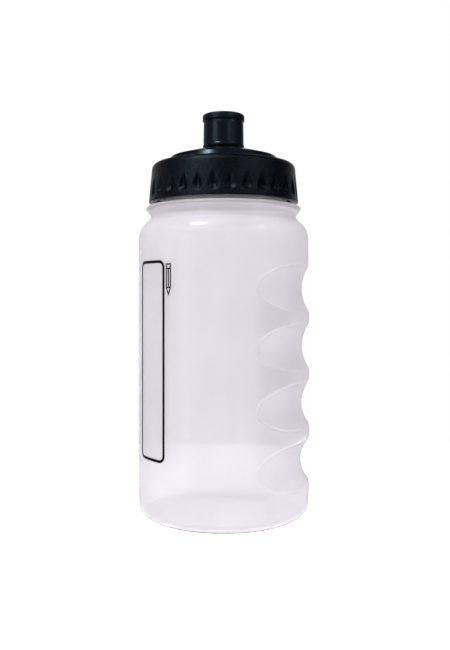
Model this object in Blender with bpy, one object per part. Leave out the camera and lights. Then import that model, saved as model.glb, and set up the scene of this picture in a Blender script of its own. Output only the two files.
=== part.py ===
"""A sports squeeze bottle: blow-moulded body, sealing washer, screw cap and push-pull nozzle.

Every length below is in millimetres, and MM turns it into metres when a mesh is made. The bottle
stands on z = 0 with its own axis on the Z axis, and its finger grooves are on the +X side. Azimuths
are in degrees, anticlockwise from +X. A profile is a list of (radius, height) points.
"""

import math

import bmesh
import bpy

MM = 0.001

# Bottle body
BODY_RADIUS = 36.4
WALL = 1.2
BASE_CORNER_RADIUS = 5.0
STANDING_RING_INNER = 25.0
PUSH_UP_HEIGHT = 4.0
PUSH_UP_RADII = (0.0, 9.0, 17.0)
SHOULDER_START = 117.2
SHOULDER_RADIUS = 9.0
SHOULDER_SWEEP = 54.0
SHOULDER_SWEEP_INSIDE = 48.0
THROAT_RADIUS = 31.17
THROAT_HEIGHT = 126.7
THROAT_FILLET = 1.43
THROAT_ARC = (230.0, 135.0)
THROAT_ARC_INSIDE = (205.0, 155.0)
THROAT_LIFT_INSIDE = 0.2
BEAD_RADIUS = 33.1
BEAD_HEIGHT = 130.4
BEAD_ROUNDING = 1.0
BEAD_ARC = (-25.0, 90.0)
NECK_RADIUS = 27.6
NECK_FOOT = 0.6
NECK_BORE = 25.6
NECK_BORE_CHAMFER = 1.0
NECK_TOP = 146.0
RIM_CHAMFER = 0.4
BODY_SEGMENTS = 36

# Finger grooves
GROOVE_COUNT = 4
GROOVE_PITCH = 24.1
LOWEST_GROOVE = 23.6
GROOVE_HALF_HEIGHT = 9.6
GROOVE_DEPTHS = (3.6, 3.3, 3.15, 3.05)
GROOVE_AZIMUTH = -15.0
GROOVE_SPINE = 16.0
GROOVE_TAPER = 38.0
GROOVE_ROW_COUNT = 7

# The grip side stands a little further out than the rest of the wall
GRIP_SWELL = 0.45
SWELL_REACH = 75.0
SWELL_RAMP_TOP = 35.0
SWELL_RAMP_BOTTOM = 6.0

# Screw thread, right-handed, one start
LEAD = 6.0
RIDGE_ROOT_WIDTH = 2.2
RIDGE_CREST_WIDTH = 0.9
RIDGE_EMBED = 0.7
RIDGE_STEP = 10.0
RIDGE_RUN_IN = 20.0
RIDGE_END_RISE = 0.1
NECK_RIDGE_CREST = 28.9
NECK_RIDGE_START = 135.6
NECK_RIDGE_FIRST_AZIMUTH = 5.0
NECK_RIDGE_TURNS = 1.3
CAP_RIDGE_CREST = 28.0
CAP_RIDGE_DROP = 1.7
CAP_RIDGE_FIRST_AZIMUTH = 45.0
CAP_RIDGE_TURNS = 1.25

# Sealing washer
CLEARANCE = 0.3
WASHER_THICKNESS = 1.2
WASHER_INNER = 25.4
WASHER_OUTER = 28.9

# Screw cap
COLLAR_BOTTOM = 132.6
COLLAR_BOTTOM_RADIUS = 32.16
COLLAR_TOP = 146.8
COLLAR_TOP_RADIUS = 30.8
COLLAR_ROUNDING = 2.3
COLLAR_ROUNDING_START = 80.0
COLLAR_FOOT = 0.4
COLLAR_BORE = 29.35
COLLAR_LEAD_IN = (0.3, 0.6)
DECK_UNDERSIDE = NECK_TOP + WASHER_THICKNESS + 2 * CLEARANCE
DECK_INNER_RADIUS = 23.8
DECK_INNER_HEIGHT = 149.5
DOME_EDGE_RADIUS = 22.3
DOME_EDGE_HEIGHT = 152.2
DOME_EDGE_ROUNDING = 0.6
DOME_TOP_RADIUS = 9.6
DOME_TOP_HEIGHT = 155.9
DOME_THICKNESS = 1.7
CAP_SEGMENTS = 60

# Grip recesses round the collar
RECESS_COUNT = 30
RECESS_DEPTH = 0.7
RECESS_RADIUS = 2.45
RECESS_CENTRE = 136.5
RECESS_POINT = 143.4
RECESS_ARC_STEPS = 8
CUTTER_RADIUS = 34.0

# Spout tower, with the plug that the closed nozzle seats on
TOWER_RADIUS = 6.3
TOWER_BORE = 5.1
TOWER_TOP = 164.7
STOP_BEAD_RADIUS = 6.95
STOP_BEAD_HEIGHT = 163.4
STOP_BEAD_FLAT = 0.5
STOP_BEAD_SLOPE = 0.2
PLUG_RADIUS = 2.25
PLUG_BOTTOM = 160.0
PLUG_TOP = 169.6
PLUG_TIP = (0.5, 0.8)
PLUG_CHAMFER = 0.4
PLUG_SEGMENTS = 20
SPOKE_COUNT = 3
SPOKE_WIDTH = 1.2
SPOKE_BOTTOM = 160.5
SPOKE_TOP = 164.0
SPOKE_ENDS = (0.9, 5.7)

# Push-pull nozzle
NOZZLE_BOTTOM = 156.6
NOZZLE_TOP = 170.8
BARREL_RADIUS_LOW = 8.6
BARREL_RADIUS_HIGH = 8.5
HEAD_NECK_RADIUS = 8.3
HEAD_RADIUS = 9.05
HEAD_BOTTOM = 167.6
HEAD_ROUNDING = 0.3
HEAD_DISH = 1.0
BARREL_FLARE = 1.4
BARREL_CHAMFER = (0.3, 0.4)
NOZZLE_BORE = 7.3
NOZZLE_LIP = 6.6
NOZZLE_LIP_HEIGHT = 0.8
NOZZLE_LIP_SLOPE = 0.5
NOZZLE_DECK = 0.9
NOZZLE_HOLE = 2.6
NOZZLE_SEGMENTS = 28

SHARP_EDGE = 35.0


def material(name, colour, roughness):
    """A plain plastic or rubber finish."""
    made = bpy.data.materials.new(name)
    made.use_nodes = True
    shader = made.node_tree.nodes["Principled BSDF"]
    shader.inputs["Base Color"].default_value = (*colour, 1.0)
    shader.inputs["Roughness"].default_value = roughness
    shader.inputs["Metallic"].default_value = 0.0
    made.diffuse_color = (*colour, 1.0)
    return made


def placed(name, bm, finish=None):
    """Turns a bmesh into an object with outward faces, smooth but for its real edges."""
    bmesh.ops.recalc_face_normals(bm, faces=bm.faces)
    mesh = bpy.data.meshes.new(name)
    bm.to_mesh(mesh)
    bm.free()
    mesh.shade_smooth()
    mesh.set_sharp_from_angle(angle=math.radians(SHARP_EDGE))
    obj = bpy.data.objects.new(name, mesh)
    bpy.context.scene.collection.objects.link(obj)
    if finish:
        mesh.materials.append(finish)
    return obj


def helper(name, bm):
    """A shape that only serves a Boolean."""
    obj = placed(name, bm)
    obj.hide_render = True
    obj.display_type = "WIRE"
    return obj


def combine(obj, other, operation):
    """Joins the helper to the object, or cuts it away."""
    boolean = obj.modifiers.new(other.name, "BOOLEAN")
    boolean.operation = operation
    boolean.solver = "EXACT"
    boolean.object = other


def arc(centre, radius, start, end, steps):
    """Points along an arc of a profile, both ends included."""
    points = []
    for step in range(steps + 1):
        angle = math.radians(start + (end - start) * step / steps)
        r = centre[0] + radius * math.cos(angle)
        z = centre[1] + radius * math.sin(angle)
        points.append((r, z))
    return points


def turned(profile, segments, closed):
    """Spins a profile round the Z axis. An open profile starts and ends on the axis."""
    bm = bmesh.new()
    verts = [bm.verts.new((r * MM, 0.0, z * MM)) for r, z in profile]
    edges = [bm.edges.new(pair) for pair in zip(verts, verts[1:])]
    if closed:
        edges.append(bm.edges.new((verts[-1], verts[0])))
    bmesh.ops.spin(
        bm,
        geom=verts + edges,
        cent=(0, 0, 0),
        axis=(0, 0, 1),
        angle=2 * math.pi,
        steps=segments,
        use_merge=True,
    )
    bmesh.ops.remove_doubles(bm, verts=bm.verts, dist=0.001 * MM)
    return bm


def from_grip(azimuth):
    """The angle from the middle of the grooves, between -180 and 180."""
    return (azimuth - GROOVE_AZIMUTH + 180.0) % 360.0 - 180.0


def groove_depth(azimuth, height):
    """How far the wall is pressed in by the finger groove at this place, or 0 outside the grooves."""
    nearest = round((height - LOWEST_GROOVE) / GROOVE_PITCH)
    nearest = min(max(nearest, 0), GROOVE_COUNT - 1)
    across = (height - LOWEST_GROOVE - nearest * GROOVE_PITCH) / GROOVE_HALF_HEIGHT
    past_spine = max(abs(from_grip(azimuth)) - GROOVE_SPINE, 0.0) / GROOVE_TAPER
    return GROOVE_DEPTHS[nearest] * max(1.0 - past_spine**2 - across**2, 0.0)


def smooth_step(share):
    share = min(max(share, 0.0), 1.0)
    return share * share * (3.0 - 2.0 * share)


def grip_swell(azimuth, height):
    """How far the grip side stands out at this place."""
    turn = min(abs(from_grip(azimuth)) / SWELL_REACH, 1.0)
    from_shoulder = (SHOULDER_START - height) / SWELL_RAMP_TOP
    from_base = (height - BASE_CORNER_RADIUS) / SWELL_RAMP_BOTTOM
    return GRIP_SWELL * math.cos(math.pi / 2 * turn) ** 2 * smooth_step(min(from_shoulder, from_base))


def wall_rows():
    """The heights of the rows of points on the straight wall, from the base up."""
    rows = []
    for index in range(GROOVE_COUNT):
        centre = LOWEST_GROOVE + index * GROOVE_PITCH
        for row in range(GROOVE_ROW_COUNT):
            rows.append(centre + GROOVE_HALF_HEIGHT * (2.0 * row / (GROOVE_ROW_COUNT - 1) - 1.0))
    return rows


def push_up(radius, bottom):
    """The height of the domed base at a radius inside the standing ring."""
    return bottom + PUSH_UP_HEIGHT * (1.0 - (radius / STANDING_RING_INNER) ** 2)


def body_profile():
    """From the base centre, up the outside to the rim, and down the inside to the base centre."""
    corner = (BODY_RADIUS - BASE_CORNER_RADIUS, BASE_CORNER_RADIUS)
    shoulder = (BODY_RADIUS - SHOULDER_RADIUS, SHOULDER_START)
    throat = (THROAT_RADIUS + THROAT_FILLET, THROAT_HEIGHT)
    bead = (BEAD_RADIUS - BEAD_ROUNDING, BEAD_HEIGHT)
    bead_top = BEAD_HEIGHT + BEAD_ROUNDING
    outside = [(r, push_up(r, 0.0)) for r in PUSH_UP_RADII]
    outside.append((STANDING_RING_INNER, 0.0))
    outside += arc(corner, BASE_CORNER_RADIUS, -90, 0, 5)
    outside += [(BODY_RADIUS, z) for z in wall_rows()]
    outside += arc(shoulder, SHOULDER_RADIUS, 0, SHOULDER_SWEEP, 4)
    outside += arc(throat, THROAT_FILLET, *THROAT_ARC, 4)
    outside += arc(bead, BEAD_ROUNDING, *BEAD_ARC, 4)
    outside.append((NECK_RADIUS + NECK_FOOT, bead_top))
    outside.append((NECK_RADIUS, bead_top + NECK_FOOT))
    outside.append((NECK_RADIUS, NECK_TOP - RIM_CHAMFER))
    outside.append((NECK_RADIUS - RIM_CHAMFER, NECK_TOP))
    inside = [(r, push_up(r, WALL)) for r in PUSH_UP_RADII]
    inside.append((STANDING_RING_INNER, WALL))
    inside += arc(corner, BASE_CORNER_RADIUS - WALL, -90, 0, 4)
    inside += [(BODY_RADIUS - WALL, z) for z in wall_rows()]
    inside += arc(shoulder, SHOULDER_RADIUS - WALL, 0, SHOULDER_SWEEP_INSIDE, 3)
    inner_throat = (throat[0], throat[1] + THROAT_LIFT_INSIDE)
    inside += arc(inner_throat, THROAT_FILLET + WALL, *THROAT_ARC_INSIDE, 2)
    inside.append((BEAD_RADIUS - 2 * WALL, BEAD_HEIGHT - WALL / 2))
    inside.append((NECK_BORE + NECK_BORE_CHAMFER, bead_top - WALL))
    inside.append((NECK_BORE, bead_top))
    inside.append((NECK_BORE, NECK_TOP - RIM_CHAMFER))
    inside.append((NECK_BORE + RIM_CHAMFER, NECK_TOP))
    return outside + inside[::-1]


def shape_grip(bm):
    """Swells the grip side and presses the finger grooves in, on the wall's outside and inside alike."""
    for vert in bm.verts:
        x, y, z = (value / MM for value in vert.co)
        radius = math.hypot(x, y)
        if radius < NECK_RADIUS or not BASE_CORNER_RADIUS < z < SHOULDER_START:
            continue
        azimuth = math.degrees(math.atan2(y, x))
        depth = groove_depth(azimuth, z) - grip_swell(azimuth, z)
        vert.co.x *= 1.0 - depth / radius
        vert.co.y *= 1.0 - depth / radius


def thread_ridge(wall, crest, first_azimuth, first_height, turns):
    """A helical ridge from inside the wall out to the crest, sinking into the wall at both ends."""
    root = wall - RIDGE_EMBED if crest > wall else wall + RIDGE_EMBED
    bm = bmesh.new()
    count = round(turns * 360 / RIDGE_STEP)
    sections = []
    for index in range(count + 1):
        turn = index * RIDGE_STEP
        azimuth = math.radians(first_azimuth + turn)
        height = first_height + LEAD * turn / 360
        from_end = min(turn, count * RIDGE_STEP - turn)
        rise = min(RIDGE_END_RISE + (1 - RIDGE_END_RISE) * from_end / RIDGE_RUN_IN, 1.0)
        top = root + (crest - root) * rise
        corners = (
            (root, -RIDGE_ROOT_WIDTH / 2),
            (top, -RIDGE_CREST_WIDTH / 2),
            (top, RIDGE_CREST_WIDTH / 2),
            (root, RIDGE_ROOT_WIDTH / 2),
        )
        section = []
        for r, dz in corners:
            place = (r * math.cos(azimuth) * MM, r * math.sin(azimuth) * MM, (height + dz) * MM)
            section.append(bm.verts.new(place))
        sections.append(section)
    for low, high in zip(sections, sections[1:]):
        for side in range(4):
            after = (side + 1) % 4
            bm.faces.new((low[side], low[after], high[after], high[side]))
    bm.faces.new(sections[0])
    bm.faces.new(sections[-1])
    return bm


def bottle_body():
    plastic = material("frosted_ldpe", (0.80, 0.78, 0.82), 0.35)
    bm = turned(body_profile(), BODY_SEGMENTS, closed=False)
    shape_grip(bm)
    body = placed("bottle_body", bm, plastic)
    ridge = thread_ridge(
        NECK_RADIUS,
        NECK_RIDGE_CREST,
        NECK_RIDGE_FIRST_AZIMUTH,
        NECK_RIDGE_START,
        NECK_RIDGE_TURNS,
    )
    combine(body, helper("neck_thread_ridge", ridge), "UNION")
    return body


def sealing_washer():
    rubber = material("washer_rubber", (0.75, 0.75, 0.73), 0.6)
    bottom = NECK_TOP + CLEARANCE
    top = bottom + WASHER_THICKNESS
    profile = [
        (WASHER_INNER, top),
        (WASHER_OUTER, top),
        (WASHER_OUTER, bottom),
        (WASHER_INNER, bottom),
    ]
    return placed("sealing_washer", turned(profile, BODY_SEGMENTS, closed=True), rubber)


def collar_radius(height):
    """The radius of the collar's tapered outside."""
    along = (height - COLLAR_BOTTOM) / (COLLAR_TOP - COLLAR_BOTTOM)
    return COLLAR_BOTTOM_RADIUS + (COLLAR_TOP_RADIUS - COLLAR_BOTTOM_RADIUS) * along


def cap_profile():
    """Down the outside from the tower's top to the collar's foot, and back up the inside."""
    rounding = (COLLAR_TOP_RADIUS - COLLAR_ROUNDING, COLLAR_TOP)
    lead_in_width, lead_in_height = COLLAR_LEAD_IN
    outside = [
        (TOWER_BORE, TOWER_TOP),
        (TOWER_RADIUS, TOWER_TOP),
        (STOP_BEAD_RADIUS, STOP_BEAD_HEIGHT + STOP_BEAD_FLAT),
        (STOP_BEAD_RADIUS, STOP_BEAD_HEIGHT),
        (TOWER_RADIUS, STOP_BEAD_HEIGHT - STOP_BEAD_SLOPE),
        (TOWER_RADIUS, DOME_TOP_HEIGHT),
        (DOME_TOP_RADIUS, DOME_TOP_HEIGHT),
        (DOME_EDGE_RADIUS, DOME_EDGE_HEIGHT),
        (DOME_EDGE_RADIUS + DOME_EDGE_ROUNDING, DOME_EDGE_HEIGHT - DOME_EDGE_ROUNDING),
        (DECK_INNER_RADIUS, DECK_INNER_HEIGHT),
    ]
    outside += arc(rounding, COLLAR_ROUNDING, COLLAR_ROUNDING_START, 0, 3)
    outside.append((collar_radius(COLLAR_BOTTOM + COLLAR_FOOT), COLLAR_BOTTOM + COLLAR_FOOT))
    outside.append((COLLAR_BOTTOM_RADIUS - COLLAR_FOOT, COLLAR_BOTTOM))
    inside = [
        (COLLAR_BORE + lead_in_width, COLLAR_BOTTOM),
        (COLLAR_BORE, COLLAR_BOTTOM + lead_in_height),
        (COLLAR_BORE, DECK_UNDERSIDE),
        (DOME_EDGE_RADIUS - DOME_EDGE_ROUNDING, DECK_UNDERSIDE),
        (DOME_EDGE_RADIUS - 2 * DOME_EDGE_ROUNDING, DOME_EDGE_HEIGHT - DOME_THICKNESS),
        (TOWER_BORE + 1.0, DOME_TOP_HEIGHT - DOME_THICKNESS + 0.6),
        (TOWER_BORE, DOME_TOP_HEIGHT),
    ]
    return outside + inside


def recess_outline():
    """A teardrop as (sideways, height) points: a round bottom with straight sides up to a point."""
    reach = RECESS_POINT - RECESS_CENTRE
    lean = math.degrees(math.acos(RECESS_RADIUS / reach))
    round_part = arc((0.0, RECESS_CENTRE), RECESS_RADIUS, 90 - lean, -270 + lean, RECESS_ARC_STEPS)
    return round_part + [(0.0, RECESS_POINT)]


def recess_cutters():
    """The teardrops as blocks round the collar, each as deep as its recess."""
    bm = bmesh.new()
    for index in range(RECESS_COUNT):
        middle = 2 * math.pi * index / RECESS_COUNT
        floor = []
        cover = []
        for sideways, height in recess_outline():
            depth_radius = collar_radius(height) - RECESS_DEPTH
            azimuth = middle + sideways / depth_radius
            for ring, r in ((floor, depth_radius), (cover, CUTTER_RADIUS)):
                place = (r * math.cos(azimuth) * MM, r * math.sin(azimuth) * MM, height * MM)
                ring.append(bm.verts.new(place))
        bm.faces.new(floor)
        bm.faces.new(cover)
        for side in range(len(floor)):
            after = (side + 1) % len(floor)
            bm.faces.new((floor[side], floor[after], cover[after], cover[side]))
    return bm


def spout_spokes():
    """Flat spokes from the plug to the inside of the tower, with gaps between them for the drink."""
    bm = bmesh.new()
    for index in range(SPOKE_COUNT):
        middle = 2 * math.pi * index / SPOKE_COUNT
        ends = []
        for along in SPOKE_ENDS:
            end = []
            for side, z in ((-1, SPOKE_BOTTOM), (1, SPOKE_BOTTOM), (1, SPOKE_TOP), (-1, SPOKE_TOP)):
                across = side * SPOKE_WIDTH / 2
                x = along * math.cos(middle) - across * math.sin(middle)
                y = along * math.sin(middle) + across * math.cos(middle)
                end.append(bm.verts.new((x * MM, y * MM, z * MM)))
            ends.append(end)
        near, far = ends
        for side in range(4):
            after = (side + 1) % 4
            bm.faces.new((near[side], near[after], far[after], far[side]))
        bm.faces.new(near)
        bm.faces.new(far)
    return bm


def spout_plug():
    """The round pin in the middle of the tower."""
    tip_width, tip_height = PLUG_TIP
    profile = [
        (0.0, PLUG_TOP),
        (PLUG_RADIUS - tip_width, PLUG_TOP),
        (PLUG_RADIUS, PLUG_TOP - tip_height),
        (PLUG_RADIUS, PLUG_BOTTOM + PLUG_CHAMFER),
        (PLUG_RADIUS - PLUG_CHAMFER, PLUG_BOTTOM),
        (0.0, PLUG_BOTTOM),
    ]
    return turned(profile, PLUG_SEGMENTS, closed=False)


def screw_cap():
    plastic = material("black_cap_plastic", (0.012, 0.015, 0.02), 0.4)
    cap = placed("screw_cap", turned(cap_profile(), CAP_SEGMENTS, closed=True), plastic)
    first_height = (
        NECK_RIDGE_START - CAP_RIDGE_DROP + LEAD * CAP_RIDGE_FIRST_AZIMUTH / 360
    )
    ridge = thread_ridge(
        COLLAR_BORE, CAP_RIDGE_CREST, CAP_RIDGE_FIRST_AZIMUTH, first_height, CAP_RIDGE_TURNS
    )
    combine(cap, helper("recess_cutters", recess_cutters()), "DIFFERENCE")
    combine(cap, helper("cap_thread_ridge", ridge), "UNION")
    combine(cap, helper("spout_spokes", spout_spokes()), "UNION")
    combine(cap, helper("spout_plug", spout_plug()), "UNION")
    return cap


def push_pull_nozzle():
    plastic = material("black_nozzle_plastic", (0.01, 0.012, 0.016), 0.25)
    deck = HEAD_BOTTOM + NOZZLE_DECK
    lip_top = NOZZLE_BOTTOM + NOZZLE_LIP_HEIGHT
    chamfer_width, chamfer_height = BARREL_CHAMFER
    profile = [
        (NOZZLE_HOLE, NOZZLE_TOP - HEAD_DISH),
        (NOZZLE_HOLE + 1.0, NOZZLE_TOP - 0.8 * HEAD_DISH),
        (HEAD_RADIUS - 1.8, NOZZLE_TOP - 0.35 * HEAD_DISH),
        (HEAD_RADIUS - 1.0, NOZZLE_TOP),
        (HEAD_RADIUS - HEAD_ROUNDING, NOZZLE_TOP - HEAD_ROUNDING),
        (HEAD_RADIUS, NOZZLE_TOP - 1.0),
        (HEAD_RADIUS, HEAD_BOTTOM + 0.5),
        (HEAD_RADIUS - HEAD_ROUNDING, HEAD_BOTTOM),
        (HEAD_NECK_RADIUS, HEAD_BOTTOM - HEAD_ROUNDING),
        (BARREL_RADIUS_HIGH, HEAD_BOTTOM - BARREL_FLARE),
        (BARREL_RADIUS_LOW, NOZZLE_BOTTOM + chamfer_height),
        (BARREL_RADIUS_LOW - chamfer_width, NOZZLE_BOTTOM),
        (NOZZLE_LIP, NOZZLE_BOTTOM),
        (NOZZLE_LIP, lip_top),
        (NOZZLE_BORE, lip_top + NOZZLE_LIP_SLOPE),
        (NOZZLE_BORE, deck - 1.3),
        (NOZZLE_BORE - 2.0, deck - 0.3),
        (NOZZLE_HOLE, deck),
    ]
    return placed("push_pull_nozzle", turned(profile, NOZZLE_SEGMENTS, closed=True), plastic)


def main():
    for obj in list(bpy.data.objects):
        bpy.data.objects.remove(obj, do_unlink=True)
    bottle_body()
    sealing_washer()
    screw_cap()
    push_pull_nozzle()


main()
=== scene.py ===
"""Looks of the sports squeeze bottle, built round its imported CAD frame.

Sizes below are in millimetres, and MM turns them into metres when a mesh is made. Azimuths are in
degrees, anticlockwise from +X, and the camera stands on the -Y side. A profile is a list of
(radius, height) points that is turned round the Z axis.
"""

import math

import bmesh
import bpy
import numpy as np
from mathutils import Matrix, Vector


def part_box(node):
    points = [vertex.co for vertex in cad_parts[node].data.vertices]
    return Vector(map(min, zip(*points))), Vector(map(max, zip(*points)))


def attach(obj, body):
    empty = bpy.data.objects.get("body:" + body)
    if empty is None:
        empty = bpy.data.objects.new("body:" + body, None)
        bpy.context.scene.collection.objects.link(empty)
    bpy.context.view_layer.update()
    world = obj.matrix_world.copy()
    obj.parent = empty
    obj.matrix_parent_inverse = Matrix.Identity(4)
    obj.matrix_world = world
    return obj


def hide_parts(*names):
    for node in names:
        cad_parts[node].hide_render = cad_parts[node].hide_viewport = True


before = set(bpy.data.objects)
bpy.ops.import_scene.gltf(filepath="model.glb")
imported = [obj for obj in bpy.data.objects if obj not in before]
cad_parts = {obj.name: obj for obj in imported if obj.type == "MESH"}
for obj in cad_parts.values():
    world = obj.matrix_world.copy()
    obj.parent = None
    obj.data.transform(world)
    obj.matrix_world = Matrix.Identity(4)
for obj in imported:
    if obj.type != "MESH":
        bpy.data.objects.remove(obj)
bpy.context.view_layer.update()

MM = 0.001


def millimetres(node):
    """A CAD node's lowest and highest corner, in millimetres."""
    low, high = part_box(node)
    return low / MM, high / MM


# What the frame fixes
body_high = millimetres("bottle_body")[1]
cap_low, cap_high = millimetres("screw_cap")
nozzle_low, nozzle_high = millimetres("push_pull_nozzle")
washer_low, washer_high = millimetres("sealing_washer")

BODY_RADIUS = 36.4
NECK_TOP = body_high.z
COLLAR_BOTTOM = cap_low.z
COLLAR_BOTTOM_RADIUS = cap_high.x
PLUG_TOP = cap_high.z
NOZZLE_BOTTOM = nozzle_low.z
NOZZLE_TOP = nozzle_high.z
HEAD_RADIUS = nozzle_high.x
WASHER_OUTER = washer_high.x

# Bottle shell
WALL = 1.1
BASE_CORNER = 5.0
STANDING_RING_INNER = 25.0
PUSH_UP_HEIGHT = 4.0
SHOULDER_START = 117.0
SHOULDER_RADIUS = 9.0
SHOULDER_SWEEP = 56.0
THROAT_RADIUS = 31.17
THROAT_HEIGHT = 126.7
BEAD_RADIUS = 33.08
BEAD_HEIGHT = 130.4
BEAD_TOP = 130.95
NECK_RADIUS = 27.6
NECK_BORE = 25.6
MID_WALL = 60.0

# How finely the shell is divided: rows in millimetres, turns in degrees, fine ones across the grip
ROW_STEP = 0.33
NECK_ROW_STEP = 0.28
INNER_ROW_STEP = 1.3
DOME_RINGS = 12
ARC_STEPS = 14
INNER_ARC_STEPS = 10
COARSE_TURN = 1.0
FINE_TURN = 0.5
FINE_REACH = 57.0

# Finger grooves
GROOVE_COUNT = 4
GROOVE_PITCH = 24.1
LOWEST_GROOVE = 23.6
GROOVE_HALF_HEIGHT = 9.6
GROOVE_DEPTHS = (3.6, 3.3, 3.15, 3.05)
GROOVE_RAMP = 0.6
GROOVE_EDGE = 0.05
SPINE_EDGE = 0.12
GROOVE_RIM_START = 10.0
GROOVE_RIM_RUN_IN = 12.0
RIM_HEIGHT = 0.45
RIM_WIDTH = 0.36
FLATTEST_SLOPE = 0.02
GROOVE_AZIMUTH = -15.0
GROOVE_SPINE = 16.0
GROOVE_TAPER = 38.0
FURTHEST_TAPER = 1.5
GRIP_SWELL = 0.45
SWELL_REACH = 75.0
SWELL_RAMP_TOP = 35.0
SWELL_RAMP_BOTTOM = 6.0

# A painted darker tone, as a share of the darkest: painted shade on the crests between grooves, a
# painted shadow of the collar on the neck that also stands for its thicker wall, and a darker tone
# inside the writing patch
CREST_PAINTED_SHADE = (0.08, 0.22, 0.22)
CREST_FADE = 0.25
CREST_START = 22.0
CREST_END = 58.0
CREST_RUN = 12.0
PATCH_TONE = 0.1
NECK_PAINTED_SHADOW = 0.5

# Screw thread
LEAD = 6.0
RIDGE_HALF_ROOT = 1.1
RIDGE_HALF_CREST = 0.45
RIDGE_RUN_IN = 18.0
NECK_RIDGE_HEIGHT = 1.3
NECK_RIDGE_START = 135.6
NECK_RIDGE_AZIMUTH = 5.0
NECK_RIDGE_TURNS = 1.3
CAP_RIDGE_HEIGHT = 1.35
CAP_RIDGE_AZIMUTH = 45.0
CAP_RIDGE_START = 134.65
CAP_RIDGE_TURNS = 1.25

# Cap
COLLAR_TOP = 148.2
COLLAR_TOP_RADIUS = 30.6
COLLAR_BORE = 29.35
DECK_UNDERSIDE = 147.8
DOME_EDGE_RADIUS = 22.9
DOME_EDGE_HEIGHT = 152.2
DOME_TOP_RADIUS = 9.6
DOME_TOP_HEIGHT = 155.9
TOWER_RADIUS = 6.3
TOWER_BORE = 5.1
TOWER_TOP = 164.7
STOP_BEAD_RADIUS = 6.95
STOP_BEAD_HEIGHT = 163.4
PLUG_RADIUS = 2.25
PLUG_BOTTOM = 160.0
SPOKE_COUNT = 3
SPOKE_BOTTOM = 160.5
SPOKE_TOP = 164.0
SPOKE_WIDTH = 1.2
SPOKE_EMBED = 0.6
SPOKE_ROUNDING = 0.25
CAP_SEGMENTS = 480
CAP_ROW_STEP = 0.36
GRAIN_START = DOME_EDGE_RADIUS + 1.3

# Nozzle and washer
LIP_BORE = 6.6
NOZZLE_BORE = 7.3
NOZZLE_HOLE = 2.6
NOZZLE_FOOT = 8.95
NOZZLE_BARREL = 8.7
NOZZLE_WAIST = 8.4
HEAD_BOTTOM = 168.1
HEAD_DISH = 6.8
WASHER_INNER = 25.4
RING_SEGMENTS = 144
PLUG_SEGMENTS = 64

# Grip recesses round the collar
RECESS_COUNT = 30
RECESS_AZIMUTH = -1.0
RECESS_DEPTH = 1.2
RECESS_EDGE = 2.2
RECESS_RADIUS = 2.5
RECESS_CENTRE = 136.7
RECESS_POINT = 143.4

# Printed panel, in azimuth and height
INK_LIFT = 0.05
INK_THICKNESS = 0.03
PANEL_AZIMUTHS = (-157.0, -130.7)
PANEL_HEIGHTS = (26.9, 106.5)
PANEL_CORNER = 2.5
PANEL_STROKE = 1.15
MARK_AZIMUTH = -126.6
MARK_TOP = 105.4
MARK_STROKE = 0.55
INK_STEP = 0.7
PENCIL_HALF_WIDTH = 1.05
PENCIL_BAND = -1.7
PENCIL_SHOULDER = -9.2
PENCIL_TIP = -12.0

# The faint blue of light on black plastic
BLUISH = (0.6, 0.8, 1.0, 1.0)


def rounded(corners, closed=False, steps=5):
    """Points of a profile from (radius, height, fillet) corners, each fillet as a round stretch."""
    count = len(corners)
    points = []
    for index, (r, z, fillet) in enumerate(corners):
        corner = np.array((r, z), float)
        if fillet == 0 or (not closed and index in (0, count - 1)):
            points.append(corner)
            continue
        before = np.array(corners[index - 1][:2], float) - corner
        after = np.array(corners[(index + 1) % count][:2], float) - corner
        shortest = min(np.linalg.norm(before), np.linalg.norm(after))
        before /= np.linalg.norm(before)
        after /= np.linalg.norm(after)
        half = math.acos(np.clip(before @ after, -1, 1)) / 2
        reach = min(fillet / math.tan(half), 0.49 * shortest)
        radius = reach * math.tan(half)
        middle = before + after
        centre = corner + middle / np.linalg.norm(middle) * radius / math.sin(half)
        first = corner + before * reach - centre
        last = corner + after * reach - centre
        turn = math.pi - 2 * half
        for step in range(steps + 1):
            share = step / steps
            swing = math.sin((1 - share) * turn) * first + math.sin(share * turn) * last
            points.append(centre + swing / math.sin(turn))
    return points


def arc(centre, radius, start, end, steps):
    """Points along an arc of a profile, both ends included."""
    angles = np.radians(np.linspace(start, end, steps + 1))
    middle = np.array(centre, float)
    return [middle + radius * np.array((math.cos(a), math.sin(a))) for a in angles]


def denser(points, step):
    """The same outline with its long stretches split, so that relief can be pressed into them."""
    made = [np.array(points[0], float)]
    for before, after in zip(points, points[1:]):
        before, after = np.array(before, float), np.array(after, float)
        pieces = max(1, math.ceil(np.linalg.norm(after - before) / step))
        made += [before + (after - before) * share / pieces for share in range(1, pieces + 1)]
    return made


def all_round(count):
    """Evenly spaced azimuths."""
    return np.linspace(0, 360, count, endpoint=False)


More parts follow.
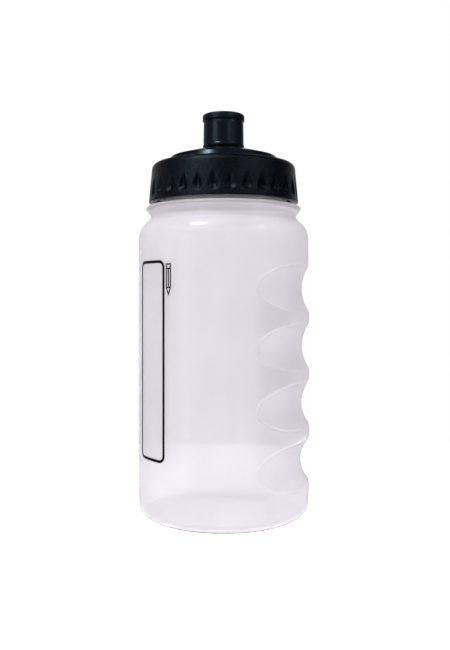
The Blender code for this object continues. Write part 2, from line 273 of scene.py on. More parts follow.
def turned(name, profile, azimuths, closed=False, relief=None):
    """A profile turned round Z. It goes up the outside and down the inside. relief moves its points
    outwards, given arrays of the profile's index, the height and the azimuth."""
    profile = np.array(profile)
    rows = len(profile)
    segments = len(azimuths)
    azimuth = np.radians(azimuths)
    radius = np.repeat(profile[:, :1], segments, axis=1)
    height = np.repeat(profile[:, 1:], segments, axis=1)
    if relief:
        index = np.repeat(np.arange(rows)[:, None], segments, axis=1)
        degrees = np.repeat(azimuths[None, :], rows, axis=0)
        radius = radius + relief(index, height, degrees)
    points = np.stack([radius * np.cos(azimuth), radius * np.sin(azimuth), height], axis=-1)
    mesh = bpy.data.meshes.new(name)
    faces = []
    for row in range(rows if closed else rows - 1):
        above = (row + 1) % rows
        for column in range(segments):
            beside = (column + 1) % segments
            faces.append(
                (
                    row * segments + column,
                    row * segments + beside,
                    above * segments + beside,
                    above * segments + column,
                )
            )
    mesh.from_pydata((points.reshape(-1, 3) * MM).tolist(), [], faces)
    bm = bmesh.new()
    bm.from_mesh(mesh)
    on_axis = [v for v in bm.verts if math.hypot(v.co.x, v.co.y) < 1e-6]
    bmesh.ops.remove_doubles(bm, verts=on_axis, dist=1e-6)
    bm.to_mesh(mesh)
    bm.free()
    mesh.shade_smooth()
    obj = bpy.data.objects.new(name, mesh)
    bpy.context.scene.collection.objects.link(obj)
    return obj


def smooth_step(share):
    share = np.clip(share, 0, 1)
    return share * share * (3 - 2 * share)


def groove_depth(height, degrees):
    """How far the finger grooves press the wall in at these places."""
    nearest = np.clip(np.round((height - LOWEST_GROOVE) / GROOVE_PITCH), 0, GROOVE_COUNT - 1)
    across = (height - LOWEST_GROOVE - nearest * GROOVE_PITCH) / GROOVE_HALF_HEIGHT
    turn = (degrees - GROOVE_AZIMUTH + 180) % 360 - 180
    past_spine = np.maximum(np.abs(turn) - GROOVE_SPINE, 0) / GROOVE_TAPER
    taper_length = math.radians(GROOVE_TAPER) * BODY_RADIUS
    share = 1 - np.minimum(past_spine, FURTHEST_TAPER) ** 2 - across**2
    along_spine = smooth_step((np.abs(turn) - GROOVE_RIM_START) / GROOVE_RIM_RUN_IN)
    edge = GROOVE_EDGE + SPINE_EDGE * (1 - along_spine)
    pressed = (share + np.sqrt(share**2 + edge**2)) / 2
    ramp = np.clip((share + GROOVE_RAMP) / GROOVE_RAMP, 0, 1)
    slope = 2 * np.hypot(past_spine / taper_length, across / GROOVE_HALF_HEIGHT)
    off_rim = share / np.maximum(slope, FLATTEST_SLOPE)
    rim = RIM_HEIGHT * np.exp(-((off_rim / RIM_WIDTH) ** 2)) * along_spine
    return np.array(GROOVE_DEPTHS)[nearest.astype(int)] * pressed * ramp - rim


def grip_swell(height, degrees):
    """The grip side stands a little further out than the rest of the wall."""
    turn = (degrees - GROOVE_AZIMUTH + 180) % 360 - 180
    beside = np.cos(math.pi / 2 * np.clip(turn / SWELL_REACH, -1, 1)) ** 2
    fall = (SHOULDER_START - height) / SWELL_RAMP_TOP
    rise = np.minimum(fall, (height - BASE_CORNER) / SWELL_RAMP_BOTTOM)
    return GRIP_SWELL * beside * smooth_step(rise)


def ridge_height(height, degrees, first_azimuth, first_height, turns):
    """The share of a helical ridge's full height at these places."""
    found = np.zeros_like(height)
    for lap in range(math.ceil(turns) + 1):
        along = (degrees - first_azimuth) % 360 + 360 * lap
        off_centre = np.abs(height - first_height - LEAD * along / 360)
        section = smooth_step((RIDGE_HALF_ROOT - off_centre) / (RIDGE_HALF_ROOT - RIDGE_HALF_CREST))
        ends = np.clip(np.minimum(along, turns * 360 - along) / RIDGE_RUN_IN, 0, 1)
        found = np.maximum(found, section * smooth_step(ends))
    return found


def push_up(radius):
    """The height of the domed base above the standing ring."""
    return PUSH_UP_HEIGHT * (1 - (radius / STANDING_RING_INNER) ** 2)


def painted_shade_and_patch_share(height, degrees):
    """The painted darker tone's share at these places: most at the neck, some on crests and writing
    patch.

    On the crests it is painted shade, and on the neck a painted shadow of the collar that also stands
    for the thicker neck wall. In the writing patch it is a darker tone of the plastic. The modelled
    wall is even.
    """
    between = (height - LOWEST_GROOVE) / GROOVE_PITCH
    across = (between - np.clip(np.round(between), 0, GROOVE_COUNT - 1)) * GROOVE_PITCH
    turn = np.abs((degrees - GROOVE_AZIMUTH + 180) % 360 - 180)
    past_spine = np.maximum(turn - GROOVE_SPINE, 0) / GROOVE_TAPER
    outside = smooth_step((past_spine**2 + (across / GROOVE_HALF_HEIGHT) ** 2 - 1) / CREST_FADE)
    beside = smooth_step((turn - CREST_START) / CREST_RUN) * smooth_step((CREST_END - turn) / CREST_RUN)
    which = np.clip(np.floor(between), 0, GROOVE_COUNT - 2).astype(int)
    on_grip = (between > 0) & (between < GROOVE_COUNT - 1)
    # Painted shade on the crests between the grooves
    crest = np.where(on_grip, np.array(CREST_PAINTED_SHADE)[which] * outside * beside, 0.0)
    in_patch = (degrees > PANEL_AZIMUTHS[0]) & (degrees < PANEL_AZIMUTHS[1])
    in_patch &= (height > PANEL_HEIGHTS[0]) & (height < PANEL_HEIGHTS[1])
    # Painted shadow of the collar on the neck, also standing for its thicker wall
    neck = NECK_PAINTED_SHADOW * smooth_step((height - BEAD_HEIGHT) / (BEAD_TOP - BEAD_HEIGHT))
    return np.maximum(np.maximum(crest, neck), np.where(in_patch, PATCH_TONE, 0.0))


def bottle_shell():
    """The blown shell: an outside and an inside one wall apart, with a thread on the neck."""
    corner = (BODY_RADIUS - BASE_CORNER, BASE_CORNER)
    shoulder = (BODY_RADIUS - SHOULDER_RADIUS, SHOULDER_START)
    dome_radii = np.linspace(0, STANDING_RING_INNER - 1, DOME_RINGS)
    dome = [np.array((radius, push_up(radius))) for radius in dome_radii]
    outside = dome + arc(corner, BASE_CORNER, -90, 0, ARC_STEPS)
    upright = [(BODY_RADIUS, MID_WALL), (BODY_RADIUS, SHOULDER_START)]
    outside += denser([outside[-1], *upright], ROW_STEP)[1:-1]
    outside += arc(shoulder, SHOULDER_RADIUS, 0, SHOULDER_SWEEP, ARC_STEPS)
    over = rounded(
        [
            (*outside[-1], 0),
            (THROAT_RADIUS - 0.3, THROAT_HEIGHT, 1.2),
            (BEAD_RADIUS + 0.35, BEAD_HEIGHT - 0.3, 0.8),
            (BEAD_RADIUS - 0.5, BEAD_TOP, 0.4),
            (NECK_RADIUS, BEAD_TOP + 0.15, 0.7),
            (NECK_RADIUS, NECK_TOP, 0.5),
            (NECK_RADIUS - 1.0, NECK_TOP, 0),
        ],
        steps=6,
    )
    outside += over[1:]
    neck = [p for p in outside if p[1] > BEAD_TOP + 0.5 and p[0] > NECK_RADIUS - 0.01]
    below = [p for p in outside if p[1] <= neck[0][1] and not (p is neck[0])]
    above = outside[len(below) + len(neck) :]
    outside = below + denser(neck, NECK_ROW_STEP) + above
    inner_dome = [p + np.array((0.0, WALL)) for p in dome]
    inside = inner_dome + arc(corner, BASE_CORNER - WALL, -90, 0, INNER_ARC_STEPS)
    upright = [(radius - WALL, height) for radius, height in upright]
    inside += denser([inside[-1], *upright], INNER_ROW_STEP)[1:-1]
    inside += arc(shoulder, SHOULDER_RADIUS - WALL, 0, SHOULDER_SWEEP - 8, INNER_ARC_STEPS)
    up = rounded(
        [
            (*inside[-1], 0),
            (THROAT_RADIUS - 1.4, THROAT_HEIGHT + 0.1, 2.4),
            (BEAD_RADIUS - 1.2, BEAD_HEIGHT - 0.4, 0.8),
            (NECK_BORE, BEAD_TOP - 0.9, 0.9),
            (NECK_BORE, NECK_TOP, 0.5),
            (NECK_BORE + 0.9, NECK_TOP, 0),
        ],
        steps=5,
    )
    inside += up[1:]
    outer_rows = len(outside)

    def relief(index, height, degrees):
        on_wall = (height > BASE_CORNER) & (height < SHOULDER_START)
        moved = np.where(on_wall, grip_swell(height, degrees) - groove_depth(height, degrees), 0.0)
        toward_x = np.maximum(np.cos(np.radians(degrees)), 0.5)
        moved = np.minimum(moved, body_high.x / toward_x - BODY_RADIUS)
        thread = ridge_height(
            height, degrees, NECK_RIDGE_AZIMUTH, NECK_RIDGE_START, NECK_RIDGE_TURNS
        )
        return moved + np.where(index < outer_rows, NECK_RIDGE_HEIGHT * thread, 0.0)

    grip_start, grip_end = GROOVE_AZIMUTH - FINE_REACH, GROOVE_AZIMUTH + FINE_REACH
    fine = np.arange(grip_start, grip_end, FINE_TURN)
    coarse = np.arange(grip_end, grip_start + 360, COARSE_TURN)
    azimuths = np.concatenate([fine, coarse])
    shell = turned("bottle_shell", outside + inside[::-1], azimuths, relief=relief)
    # The "thickness" attribute holds each vertex's share of the painted shade and of the writing
    # patch's darker tone
    places = np.array([vert.co for vert in shell.data.vertices]) / MM
    degrees = np.degrees(np.arctan2(places[:, 1], places[:, 0]))
    thickness = shell.data.attributes.new("thickness", "FLOAT", "POINT")
    thickness.data.foreach_set("value", painted_shade_and_patch_share(places[:, 2], degrees).astype(np.float32))
    return shell


def recess_depth(height, degrees):
    """How deep the teardrop recesses are at these places on the collar."""
    pitch = 360 / RECESS_COUNT
    turn = (degrees - RECESS_AZIMUTH + pitch / 2) % pitch - pitch / 2
    across = np.abs(np.radians(turn) * COLLAR_BOTTOM_RADIUS)
    up = height - RECESS_CENTRE
    reach = RECESS_POINT - RECESS_CENTRE
    lean = RECESS_RADIUS / reach
    upright = math.sqrt(1 - lean**2)
    side = up * upright - across * lean
    round_end = np.hypot(across, up) - RECESS_RADIUS
    point = np.hypot(across, up - reach)
    straight = across * upright + up * lean - RECESS_RADIUS
    outline = np.where(side < 0, round_end, np.where(side > upright * reach, point, straight))
    return RECESS_DEPTH * smooth_step(-outline / RECESS_EDGE)


def cap_moulding():
    """Collar, dome and spout tower as one moulding: up the outside, then down the inside."""
    outside = rounded(
        [
            (COLLAR_BORE + 0.9, COLLAR_BOTTOM, 0),
            (COLLAR_BOTTOM_RADIUS, COLLAR_BOTTOM, 0.35),
            (COLLAR_TOP_RADIUS, COLLAR_TOP + 0.9, 2.4),
            (DOME_EDGE_RADIUS + 0.9, COLLAR_TOP + 1.3, 0.4),
            (DOME_EDGE_RADIUS, DOME_EDGE_HEIGHT, 0.9),
            (DOME_TOP_RADIUS, DOME_TOP_HEIGHT, 0.5),
            (TOWER_RADIUS, DOME_TOP_HEIGHT, 0.3),
            (TOWER_RADIUS, STOP_BEAD_HEIGHT - 0.2, 0.2),
            (STOP_BEAD_RADIUS, STOP_BEAD_HEIGHT, 0.15),
            (STOP_BEAD_RADIUS, STOP_BEAD_HEIGHT + 0.5, 0.3),
            (TOWER_RADIUS, TOWER_TOP, 0.3),
            (TOWER_BORE, TOWER_TOP, 0.3),
            (TOWER_BORE, DOME_TOP_HEIGHT, 0.4),
            (TOWER_BORE + 1.5, DOME_TOP_HEIGHT - 1.3, 1.0),
            (DOME_EDGE_RADIUS - 1.4, DOME_EDGE_HEIGHT - 1.6, 1.2),
            (DOME_EDGE_RADIUS - 1.0, DECK_UNDERSIDE, 0.4),
            (COLLAR_BORE, DECK_UNDERSIDE, 0.6),
            (COLLAR_BORE, COLLAR_BOTTOM, 0.5),
            (COLLAR_BORE + 0.5, COLLAR_BOTTOM, 0),
        ],
        steps=4,
    )
    profile = []
    for before, after in zip(outside, outside[1:]):
        upright = abs(after[1] - before[1]) > 4 and min(before[0], after[0]) > COLLAR_BORE - 0.1
        profile += denser([before, after], CAP_ROW_STEP)[:-1] if upright else [before]
    profile.append(outside[-1])
    highest = max(range(len(profile)), key=lambda index: profile[index][1])

    def relief(index, height, degrees):
        thread = ridge_height(height, degrees, CAP_RIDGE_AZIMUTH, CAP_RIDGE_START, CAP_RIDGE_TURNS)
        radii = np.array(profile)[:, 0][index]
        on_collar = (index < highest) & (radii > COLLAR_TOP_RADIUS - 0.5)
        on_bore = (index > highest) & (radii > COLLAR_BORE - 0.05)
        pressed = np.where(on_collar, -recess_depth(height, degrees), 0.0)
        return pressed - np.where(on_bore, CAP_RIDGE_HEIGHT * thread, 0.0)

    return turned("cap_moulding", profile, all_round(CAP_SEGMENTS), closed=True, relief=relief)


def spout_plug():
    """The pin that the closed mouthpiece seats on."""
    profile = rounded(
        [
            (0.0, PLUG_BOTTOM, 0),
            (PLUG_RADIUS, PLUG_BOTTOM, 0.4),
            (PLUG_RADIUS, PLUG_TOP, 0.7),
            (0.0, PLUG_TOP, 0),
        ]
    )
    return turned("spout_plug", profile, all_round(PLUG_SEGMENTS))


def spout_spoke(index):
    """A flat spoke from the plug to the tower's bore."""
    bm = bmesh.new()
    bmesh.ops.create_cube(bm, size=1.0)
    length = TOWER_BORE - PLUG_RADIUS + 2 * SPOKE_EMBED
    for vert in bm.verts:
        vert.co.x = (vert.co.x + 0.5) * length + PLUG_RADIUS - SPOKE_EMBED
        vert.co.y *= SPOKE_WIDTH
        vert.co.z = vert.co.z * (SPOKE_TOP - SPOKE_BOTTOM) + (SPOKE_TOP + SPOKE_BOTTOM) / 2
        vert.co *= MM
    offset = SPOKE_ROUNDING * MM
    bmesh.ops.bevel(bm, geom=bm.edges, offset=offset, segments=3, affect="EDGES", profile=0.5)
    turn = math.radians(360 / SPOKE_COUNT * index)
    bmesh.ops.rotate(bm, cent=(0, 0, 0), matrix=Matrix.Rotation(turn, 3, "Z"), verts=bm.verts)
    name = f"spout_spoke_{index + 1}"
    mesh = bpy.data.meshes.new(name)
    bm.to_mesh(mesh)
    bm.free()
    mesh.shade_smooth()
    mesh.set_sharp_from_angle(angle=math.radians(50))
    obj = bpy.data.objects.new(name, mesh)
    bpy.context.scene.collection.objects.link(obj)
    return obj


def mouthpiece():
    """The sliding nozzle, with its bite head, its bore and the lip that the stop bead catches."""
    corners = [
        (LIP_BORE, NOZZLE_BOTTOM, 0.15),
        (NOZZLE_FOOT, NOZZLE_BOTTOM, 0.35),
        (NOZZLE_FOOT, NOZZLE_BOTTOM + 0.9, 0.6),
        (NOZZLE_BARREL, NOZZLE_BOTTOM + 1.5, 0.8),
        (NOZZLE_BARREL - 0.12, HEAD_BOTTOM - 1.2, 1.5),
        (NOZZLE_WAIST, HEAD_BOTTOM - 0.4, 0.6),
        (HEAD_RADIUS, HEAD_BOTTOM, 1.0),
        (HEAD_RADIUS, NOZZLE_TOP, 1.6),
        (HEAD_DISH + 0.7, NOZZLE_TOP, 0.5),
        (HEAD_DISH, NOZZLE_TOP - 0.5, 0.6),
        (NOZZLE_HOLE + 0.8, NOZZLE_TOP - 0.9, 0.5),
        (NOZZLE_HOLE, NOZZLE_TOP - 1.3, 0.3),
        (NOZZLE_HOLE, HEAD_BOTTOM + 0.4, 0.2),
        (NOZZLE_BORE - 2.0, HEAD_BOTTOM + 0.1, 0.6),
        (NOZZLE_BORE, HEAD_BOTTOM - 1.1, 0.6),
        (NOZZLE_BORE, NOZZLE_BOTTOM + 1.4, 0.3),
        (LIP_BORE, NOZZLE_BOTTOM + 0.8, 0.15),
    ]
    return turned("mouthpiece", rounded(corners, closed=True), all_round(RING_SEGMENTS), closed=True)


def washer():
    """The flat sealing ring under the cap's deck."""
    corners = [
        (WASHER_INNER, washer_low.z, 0.25),
        (WASHER_OUTER, washer_low.z, 0.25),
        (WASHER_OUTER, washer_high.z, 0.25),
        (WASHER_INNER, washer_high.z, 0.25),
    ]
    return turned("sealing_ring", rounded(corners, closed=True), all_round(RING_SEGMENTS), closed=True)


def ribbon(path, width, closed):
    """The two edges of a stroke of ink along a path of (across, up) points."""
    path = np.array(path, float)
    if closed:
        before, after = np.roll(path, 1, axis=0), np.roll(path, -1, axis=0)
    else:
        before = np.vstack([path[:1], path[:-1]])
        after = np.vstack([path[1:], path[-1:]])
    along_in = path - before
    along_out = after - path
    along_in[np.linalg.norm(along_in, axis=1) == 0] = along_out[np.linalg.norm(along_in, axis=1) == 0]
    along_out[np.linalg.norm(along_out, axis=1) == 0] = along_in[np.linalg.norm(along_out, axis=1) == 0]
    along_in /= np.linalg.norm(along_in, axis=1)[:, None]
    along_out /= np.linalg.norm(along_out, axis=1)[:, None]
    side = along_in + along_out
    side = np.stack([-side[:, 1], side[:, 0]], axis=1)
    side /= np.linalg.norm(side, axis=1)[:, None]
    normal_in = np.stack([-along_in[:, 1], along_in[:, 0]], axis=1)
    stretch = 1 / np.clip((side * normal_in).sum(axis=1), 0.4, 1)
    offset = side * stretch[:, None] * width / 2
    return path - offset, path + offset


def inked(name, strokes, width, azimuth, height):
    """Strokes of ink on the bottle's side, as points in millimetres across and up from a place."""
    bm = bmesh.new()
    radius = BODY_RADIUS + INK_LIFT
    for path, closed in strokes:
        dense = denser(path + path[:1] if closed else path, INK_STEP)
        if closed:
            dense = dense[:-1]
        edges = []
        for edge in ribbon(dense, width, closed):
            verts = []
            for across, up in edge:
                turn = math.radians(azimuth) + across / radius
                place = (radius * math.cos(turn), radius * math.sin(turn), height + up)
                verts.append(bm.verts.new([value * MM for value in place]))
            edges.append(verts)
        count = len(dense)
        for step in range(count if closed else count - 1):
            beyond = (step + 1) % count
            bm.faces.new((edges[0][step], edges[0][beyond], edges[1][beyond], edges[1][step]))
    bmesh.ops.recalc_face_normals(bm, faces=bm.faces)
    mesh = bpy.data.meshes.new(name)
    bm.to_mesh(mesh)
    bm.free()
    obj = bpy.data.objects.new(name, mesh)
    bpy.context.scene.collection.objects.link(obj)
    film = obj.modifiers.new("film", "SOLIDIFY")
    film.thickness = INK_THICKNESS * MM
    film.offset = -1
    return obj


def printed_panel():
    """A long rounded rectangle to write in."""
    width = math.radians(PANEL_AZIMUTHS[1] - PANEL_AZIMUTHS[0]) * BODY_RADIUS
    tall = PANEL_HEIGHTS[1] - PANEL_HEIGHTS[0]
    corners = [(0, 0), (width, 0), (width, tall), (0, tall)]
    outline = rounded([(*corner, PANEL_CORNER) for corner in corners], closed=True, steps=6)
    outline = [tuple(point) for point in outline]
    return inked("printed_panel", [(outline, True)], PANEL_STROKE, PANEL_AZIMUTHS[0], PANEL_HEIGHTS[0])


def printed_pencil():
    """A small pencil, point down, beside the panel."""
    half = PENCIL_HALF_WIDTH
    point = [(half, PENCIL_SHOULDER), (0, PENCIL_TIP), (-half, PENCIL_SHOULDER)]
    strokes = [
        ([(-half, 0), (half, 0), *point], True),
        ([(-half, PENCIL_BAND), (half, PENCIL_BAND)], False),
        ([(-half, PENCIL_SHOULDER), (half, PENCIL_SHOULDER)], False),
        ([(0, PENCIL_BAND), (0, PENCIL_SHOULDER)], False),
    ]
    return inked("printed_pencil", strokes, MARK_STROKE, MARK_AZIMUTH, MARK_TOP)


def shader_of(name, colour, roughness, **plain):
    """A material with one Principled shader and these plain values."""
    made = bpy.data.materials.new(name)
    made.use_nodes = True
    shader = made.node_tree.nodes["Principled BSDF"]
    shader.inputs["Base Color"].default_value = (*colour, 1.0)
    shader.inputs["Roughness"].default_value = roughness
    for socket, value in plain.items():
        shader.inputs[socket.replace("_", " ")].default_value = value
    return made, shader


def noise(made, scale, detail, roughness=0.5):
    """Solid noise in the object's own metres."""
    nodes, links = made.node_tree.nodes, made.node_tree.links
    place = nodes.new("ShaderNodeTexCoord")
    texture = nodes.new("ShaderNodeTexNoise")
    texture.inputs["Scale"].default_value = scale
    texture.inputs["Detail"].default_value = detail
    texture.inputs["Roughness"].default_value = roughness
    links.new(place.outputs["Object"], texture.inputs["Vector"])
    return texture.outputs["Fac"]


def spread(made, source, low, high, start=0.3, end=0.7):
    """Maps noise from start..end onto low..high."""
    nodes, links = made.node_tree.nodes, made.node_tree.links
    ramp = nodes.new("ShaderNodeMapRange")
    ramp.inputs["From Min"].default_value = start
    ramp.inputs["From Max"].default_value = end
    ramp.inputs["To Min"].default_value = low
    ramp.inputs["To Max"].default_value = high
    links.new(source, ramp.inputs["Value"])
    return ramp.outputs["Result"]


def tinted(made, source, first, second):
    """A colour that goes from first to second with the source."""
    nodes, links = made.node_tree.nodes, made.node_tree.links
    mix = nodes.new("ShaderNodeMix")
    mix.data_type = "RGBA"
    mix.inputs["A"].default_value = (*first, 1.0)
    mix.inputs["B"].default_value = (*second, 1.0)
    links.new(source, mix.inputs["Factor"])
    return mix.outputs["Result"]


def embossed(made, heights):
    """One bump after another, each (source, strength, distance in millimetres)."""
    nodes, links = made.node_tree.nodes, made.node_tree.links
    shader = nodes["Principled BSDF"]
    last = None
    for source, strength, distance in heights:
        bump = nodes.new("ShaderNodeBump")
        bump.inputs["Strength"].default_value = strength
        bump.inputs["Distance"].default_value = distance * MM
        links.new(source, bump.inputs["Height"])
        if last:
            links.new(last, bump.inputs["Normal"])
        last = bump.outputs["Normal"]
    links.new(last, shader.inputs["Normal"])


def frosted_plastic():
    """Natural low-density polyethylene: milky and see-through, with a soft sheen."""
    made, shader = shader_of(
        "frosted_ldpe",
        (0.78, 0.755, 0.79),
        0.12,
        Transmission_Weight=0.6,
        IOR=1.15,
        Coat_Weight=0.3,
        Coat_Roughness=0.3,
    )
    links = made.node_tree.links
    cloud = noise(made, 45, detail=2)
    colour = tinted(made, spread(made, cloud, 0, 1), (0.76, 0.735, 0.77), (0.805, 0.78, 0.815))
    # Painted shade: the base colour darkens on the crests between grooves and under the collar on the
    # neck, and a little in the writing patch
    thickness = made.node_tree.nodes.new("ShaderNodeAttribute")
    thickness.attribute_name = "thickness"
    with_painted_shade = tinted(made, thickness.outputs["Fac"], (0.0, 0.0, 0.0), (0.42, 0.40, 0.43))
    links.new(colour, with_painted_shade.node.inputs["A"])
    links.new(with_painted_shade, shader.inputs["Base Color"])
    grain = noise(made, 900, detail=3)
    links.new(spread(made, grain, 0.1, 0.13), shader.inputs["Roughness"])
    return made


def textured_plastic():
    """Black moulding with a fine spark-eroded grain."""
    made, shader = shader_of(
        "textured_black_plastic",
        (0.002, 0.004, 0.009),
        0.4,
        IOR=1.45,
        Specular_IOR_Level=0.22,
        Specular_Tint=BLUISH,
    )
    links = made.node_tree.links
    grain = noise(made, 1700, detail=2, roughness=0.7)
    patches = noise(made, 120, detail=2)
    specks = spread(made, grain, 0, 1, start=0.52, end=0.68)
    colour = tinted(made, specks, (0.0001, 0.0006, 0.0026), (0.003, 0.0055, 0.011))
    links.new(colour, shader.inputs["Base Color"])
    links.new(spread(made, patches, 0.3, 0.38), shader.inputs["Roughness"])
    embossed(made, [(grain, 1.0, 0.22)])
    return made


def glossy_plastic(name, roughness):
    """Smooth black moulding, with the faint waves and dulled patches of handled plastic."""
    made, shader = shader_of(
        name,
        (0.003, 0.005, 0.009),
        roughness,
        IOR=1.45,
        Specular_IOR_Level=0.22,
        Specular_Tint=BLUISH,
    )
    links = made.node_tree.links
    patches = noise(made, 160, detail=4, roughness=0.6)
    colour = tinted(made, spread(made, patches, 0, 1), (0.0025, 0.004, 0.0075), (0.004, 0.006, 0.011))
    links.new(colour, shader.inputs["Base Color"])
    links.new(spread(made, patches, roughness - 0.05, roughness + 0.07), shader.inputs["Roughness"])
    fine = noise(made, 700, detail=2)
    waves = noise(made, 90, detail=1)
    embossed(made, [(waves, 0.1, 0.1), (fine, 0.05, 0.02)])
    return made


def washer_rubber():
    """Pale translucent silicone."""
    made, shader = shader_of("pale_silicone", (0.75, 0.75, 0.73), 0.5, Transmission_Weight=0.2)
    links = made.node_tree.links
    dust = noise(made, 500, detail=4)
    colour = tinted(made, spread(made, dust, 0, 1), (0.70, 0.70, 0.68), (0.80, 0.80, 0.78))
    links.new(colour, shader.inputs["Base Color"])
    links.new(spread(made, dust, 0.42, 0.6), shader.inputs["Roughness"])
    embossed(made, [(dust, 0.2, 0.05)])
    return made


def ink():
    """Screen-printed black ink, a little uneven."""
    made, shader = shader_of("black_ink", (0.002, 0.002, 0.004), 0.4, Specular_IOR_Level=0.1)
    links = made.node_tree.links
    cover = noise(made, 1500, detail=3)
    colour = tinted(made, spread(made, cover, 0, 1), (0.001, 0.001, 0.003), (0.005, 0.005, 0.009))
    links.new(colour, shader.inputs["Base Color"])
    links.new(spread(made, cover, 0.3, 0.55), shader.inputs["Roughness"])
    embossed(made, [(cover, 0.15, 0.02)])
    return made


def pale_glowing_floor():
    made, shader = shader_of("pale_glowing_floor", (0.93, 0.93, 0.93), 0.9)
    shader.inputs["Specular IOR Level"].default_value = 0.0
    # Painted glow: the floor emits light, most near the bottle and fading out behind it, which
    # brightens what is seen through the plastic low down
    shader.inputs["Emission Color"].default_value = (1.0, 1.0, 1.0, 1.0)
    nodes, links = made.node_tree.nodes, made.node_tree.links
    place = nodes.new("ShaderNodeTexCoord")
    apart = nodes.new("ShaderNodeSeparateXYZ")
    fade = nodes.new("ShaderNodeMapRange")
    fade.inputs["From Min"].default_value, fade.inputs["From Max"].default_value = FLOOR_FADE
    fade.inputs["To Min"].default_value, fade.inputs["To Max"].default_value = FLOOR_GLOW
    links.new(place.outputs["Object"], apart.inputs["Vector"])
    links.new(apart.outputs["Y"], fade.inputs["Value"])
    links.new(fade.outputs["Result"], shader.inputs["Emission Strength"])
    return made


def dressed(obj, finish, body, stands_for=None):
    """Gives a piece its finish and its body, and hides the CAD node that it stands for."""
    obj.data.materials.append(finish)
    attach(obj, body)
    if stands_for:
        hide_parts(stands_for)
    return obj


def paint_collar(cap, texture):
    """The collar's outside and its top take the grain, while dome, tower and inside stay smooth."""
    cap.data.materials.append(texture)
    for face in cap.data.polygons:
        place = face.center / MM
        radius = math.hypot(place.x, place.y)
        outward = face.normal.x * place.x + face.normal.y * place.y > 0 or face.normal.z > 0.5
        if outward and radius > GRAIN_START and place.z > COLLAR_BOTTOM + 0.02:
            face.material_index = 1


def build_object():
    dressed(bottle_shell(), frosted_plastic(), "bottle", "bottle_body")
    black_ink = ink()
    dressed(printed_panel(), black_ink, "bottle")
    dressed(printed_pencil(), black_ink, "bottle")
    dressed(washer(), washer_rubber(), "washer", "sealing_washer")
    smooth_black = glossy_plastic("glossy_black_plastic", 0.24)
    cap = dressed(cap_moulding(), smooth_black, "cap", "screw_cap")
    paint_collar(cap, textured_plastic())
    dressed(spout_plug(), smooth_black, "cap")
    for index in range(SPOKE_COUNT):
        dressed(spout_spoke(index), smooth_black, "cap")
    nozzle_black = glossy_plastic("nozzle_black_plastic", 0.32)
    dressed(mouthpiece(), nozzle_black, "nozzle", "push_pull_nozzle")


# Studio, in metres
CAMERA_PLACE = (0.0, -0.325, 0.092)
CAMERA_LENS = 41.65
CAMERA_SENSOR = 36.0
CAMERA_SHIFT = (0.0022, -0.0415)
LIGHT_TARGET = (0.0, 0.0, 0.11)
LIGHT_DISTANCE = 0.8
KEY_DIRECTION = (-0.424, -0.462, 0.779)
TOP_DIRECTION = (-0.30, -0.25, 0.92)
WORLD_THROUGH_PLASTIC = 0.95
SKY_DIRECTION = (-0.15, -0.20, 0.95)
SKY_ON_DIFFUSE = (1.17, 1.41)
FLOOR_START = 0.2
FLOOR_ON_DIFFUSE = 0.5
BACKDROP_DIRECTION = (0.0, 1.0, 0.0)
BACKDROP_START = 0.6
BACKDROP_ON_GLOSS = (0.004, 0.8)
FLOOR_EDGES = (-1.5, 0.15)
FLOOR_HALF_WIDTH = 1.5
FLOOR_DROP = 0.0002
# The floor's painted glow, from near the bottle to far behind it along Y
FLOOR_FADE = (0.0, 0.15)
FLOOR_GLOW = (1.8, 0.5)


def soft_light(name, direction, size, power, gloss_only=True):
    """A soft box in that direction from the object, facing it."""
    data = bpy.data.lights.new(name, "AREA")
    data.shape = "RECTANGLE"
    data.size, data.size_y = size
    data.energy = power
    lamp = bpy.data.objects.new(name, data)
    toward = Vector(direction).normalized()
    lamp.location = Vector(LIGHT_TARGET) + toward * LIGHT_DISTANCE
    lamp.rotation_mode = "QUATERNION"
    lamp.rotation_quaternion = toward.to_track_quat("Z", "Y")
    lamp.visible_diffuse = not gloss_only
    lamp.visible_transmission = not gloss_only
    lamp.visible_glossy = gloss_only
    bpy.context.scene.collection.objects.link(lamp)


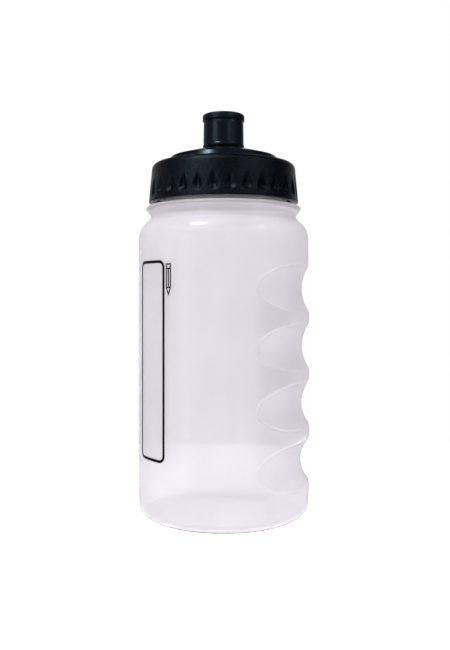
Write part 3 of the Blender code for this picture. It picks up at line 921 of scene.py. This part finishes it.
def studio():
    scene = bpy.context.scene
    mesh = bpy.data.meshes.new("floor")
    near, far = FLOOR_EDGES
    sides = (-FLOOR_HALF_WIDTH, FLOOR_HALF_WIDTH)
    corners = [(sides[0], near, 0), (sides[1], near, 0), (sides[1], far, 0), (sides[0], far, 0)]
    mesh.from_pydata(corners, [], [(0, 1, 2, 3)])
    floor = bpy.data.objects.new("floor", mesh)
    floor.location.z = -FLOOR_DROP
    floor.visible_glossy = False
    floor.visible_diffuse = False
    mesh.materials.append(pale_glowing_floor())
    scene.collection.objects.link(floor)

    soft_light("top_light", TOP_DIRECTION, (0.3, 0.3), 3.2, gloss_only=False)
    soft_light("key_sparkle", KEY_DIRECTION, (0.1, 0.1), 4.2)
    soft_light("right_sparkle_high", (0.69, -0.444, 0.57), (0.05, 0.05), 1.0)
    soft_light("right_sparkle_low", (0.503, -0.764, 0.40), (0.04, 0.04), 0.4)
    soft_light("left_sparkle", (-0.85, 0.45, 0.15), (0.12, 0.5), 0.15)
    soft_light("left_window", (-0.766, -0.642, -0.10), (0.22, 0.4), 1.1)
    soft_light("left_window_high", (-0.72, -0.60, 0.36), (0.25, 0.16), 0.8)

    world = bpy.data.worlds.new("white_studio")
    scene.world = world
    world.use_nodes = True
    nodes, links = world.node_tree.nodes, world.node_tree.links
    background = nodes["Background"]
    background.inputs["Color"].default_value = (1.0, 1.0, 1.0, 1.0)
    path = nodes.new("ShaderNodeLightPath")
    reflected = nodes.new("ShaderNodeMath")
    reflected.operation = "GREATER_THAN"
    links.new(path.outputs["Is Glossy Ray"], reflected.inputs[0])
    links.new(path.outputs["Is Transmission Ray"], reflected.inputs[1])
    way = nodes.new("ShaderNodeTexCoord")

    def toward(direction, start, low, high):
        """Goes from low to high as a ray's way turns to that direction."""
        facing = nodes.new("ShaderNodeVectorMath")
        facing.operation = "DOT_PRODUCT"
        facing.inputs[1].default_value = direction
        links.new(way.outputs["Generated"], facing.inputs[0])
        level = nodes.new("ShaderNodeMapRange")
        level.inputs["From Min"].default_value = start
        level.inputs["To Min"].default_value = low
        level.inputs["To Max"].default_value = high
        links.new(facing.outputs["Value"], level.inputs["Value"])
        return level.outputs["Result"]

    def chosen(ray, otherwise, level):
        """This level for one kind of ray, and the other for the rest."""
        pick = nodes.new("ShaderNodeMix")
        links.new(ray, pick.inputs["Factor"])
        for socket, value in (("A", otherwise), ("B", level)):
            if isinstance(value, float):
                pick.inputs[socket].default_value = value
            else:
                links.new(value, pick.inputs[socket])
        return pick.outputs["Result"]

    diffuse = nodes.new("ShaderNodeMath")
    links.new(toward(SKY_DIRECTION, -1.0, *SKY_ON_DIFFUSE), diffuse.inputs[0])
    links.new(toward((0.0, 0.0, -1.0), FLOOR_START, 0.0, FLOOR_ON_DIFFUSE), diffuse.inputs[1])
    gloss = toward(BACKDROP_DIRECTION, BACKDROP_START, *BACKDROP_ON_GLOSS)
    level = chosen(path.outputs["Is Transmission Ray"], 1.0, WORLD_THROUGH_PLASTIC)
    level = chosen(path.outputs["Is Diffuse Ray"], level, diffuse.outputs[0])
    level = chosen(reflected.outputs[0], level, gloss)
    links.new(level, background.inputs["Strength"])

    lens = bpy.data.cameras.new("camera")
    lens.lens = CAMERA_LENS
    lens.sensor_width = CAMERA_SENSOR
    lens.shift_x, lens.shift_y = CAMERA_SHIFT
    lens.clip_start, lens.clip_end = 0.01, 50.0
    camera = bpy.data.objects.new("camera", lens)
    camera.location = CAMERA_PLACE
    camera.rotation_euler = (math.radians(90), 0, 0)
    scene.collection.objects.link(camera)
    scene.camera = camera
    scene.view_settings.view_transform = "Standard"


build_object()
studio()
